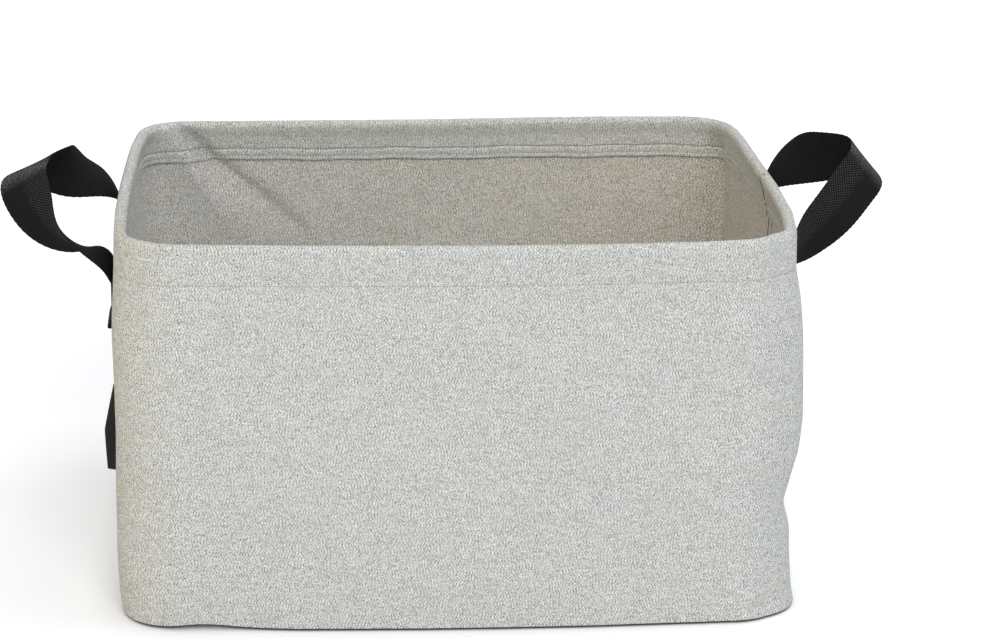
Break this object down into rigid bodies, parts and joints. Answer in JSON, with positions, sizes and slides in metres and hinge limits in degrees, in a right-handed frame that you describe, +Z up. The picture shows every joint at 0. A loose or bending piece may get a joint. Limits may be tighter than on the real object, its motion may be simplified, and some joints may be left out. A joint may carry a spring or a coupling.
{
  "type": "fabric storage bin",
  "caption": "Open rectangular soft storage bin of linen-look cloth with a stiffened rolled rim, a flat base and black webbing loop handles on the short ends.",
  "frame": {"origin": "centre of the underside of the base, on the surface the bin stands on", "axes": "+X along the long side to the right handle, -Y out of the front, +Z up"},
  "size_m": [0.6506, 0.371, 0.2995],
  "materials": {
    "cloth": "matte",
    "lining": "matte",
    "board": "matte",
    "binding": "matte",
    "rim_plastic": "satin",
    "cloth_thread": "matte",
    "webbing": "matte",
    "webbing_thread": "satin",
    "label_cloth": "satin"
  },
  "bodies": {
    "tub": {"base_panel": "cloth", "base_board": "board", "base_lining": "lining", "base_binding": "binding", "front_wall": "cloth", "back_wall": "cloth", "left_seam_tape": "binding", "right_seam_tape": "binding"},
    "rim": {"front_hem": "cloth", "back_hem": "cloth", "front_rim_tube": "rim_plastic", "back_rim_tube": "rim_plastic", "left_rim_plug": "rim_plastic", "right_rim_plug": "rim_plastic", "front_hem_stitching": "cloth_thread", "back_hem_stitching": "cloth_thread", "left_strap_front_end": "webbing", "left_strap_back_end": "webbing", "right_strap_front_end": "webbing", "right_strap_back_end": "webbing", "left_strap_stitching": "webbing_thread", "right_strap_stitching": "webbing_thread"},
    "left_handle": {"left_strap_loop": "webbing"},
    "right_handle": {"right_strap_loop": "webbing"},
    "label_root": {"label_seam_end": "label_cloth"},
    "label_flap": {"label_tab": "label_cloth"}
  },
  "joints": [
    {"name": "collapse", "type": "slide", "parent": "tub", "child": "rim", "axis": [0, 0, -1], "range_m": [0, 0.18], "deforming": ["front_wall", "back_wall", "left_seam_tape", "right_seam_tape"]},
    {"name": "left_handle_swing", "type": "hinge", "parent": "rim", "child": "left_handle", "pos_m": [-0.23875, 0, 0.2271], "axis": [0, 1, 0], "range_deg": [-110, 38]},
    {"name": "right_handle_swing", "type": "hinge", "parent": "rim", "child": "right_handle", "pos_m": [0.23875, 0, 0.2271], "axis": [0, -1, 0], "range_deg": [-110, 38]},
    {"name": "label_drop", "type": "slide", "parent": "tub", "child": "label_root", "axis": [0, 0, -1], "range_m": [0, 0.0506]},
    {"name": "label_flip", "type": "hinge", "parent": "label_root", "child": "label_flap", "pos_m": [-0.2377, 0, 0.086], "axis": [0, 0, 1], "range_deg": [-75, 75]}
  ],
  "couplings": [
    {"joint": "label_drop", "follows": "collapse", "ratio": 0.28}
  ]
}
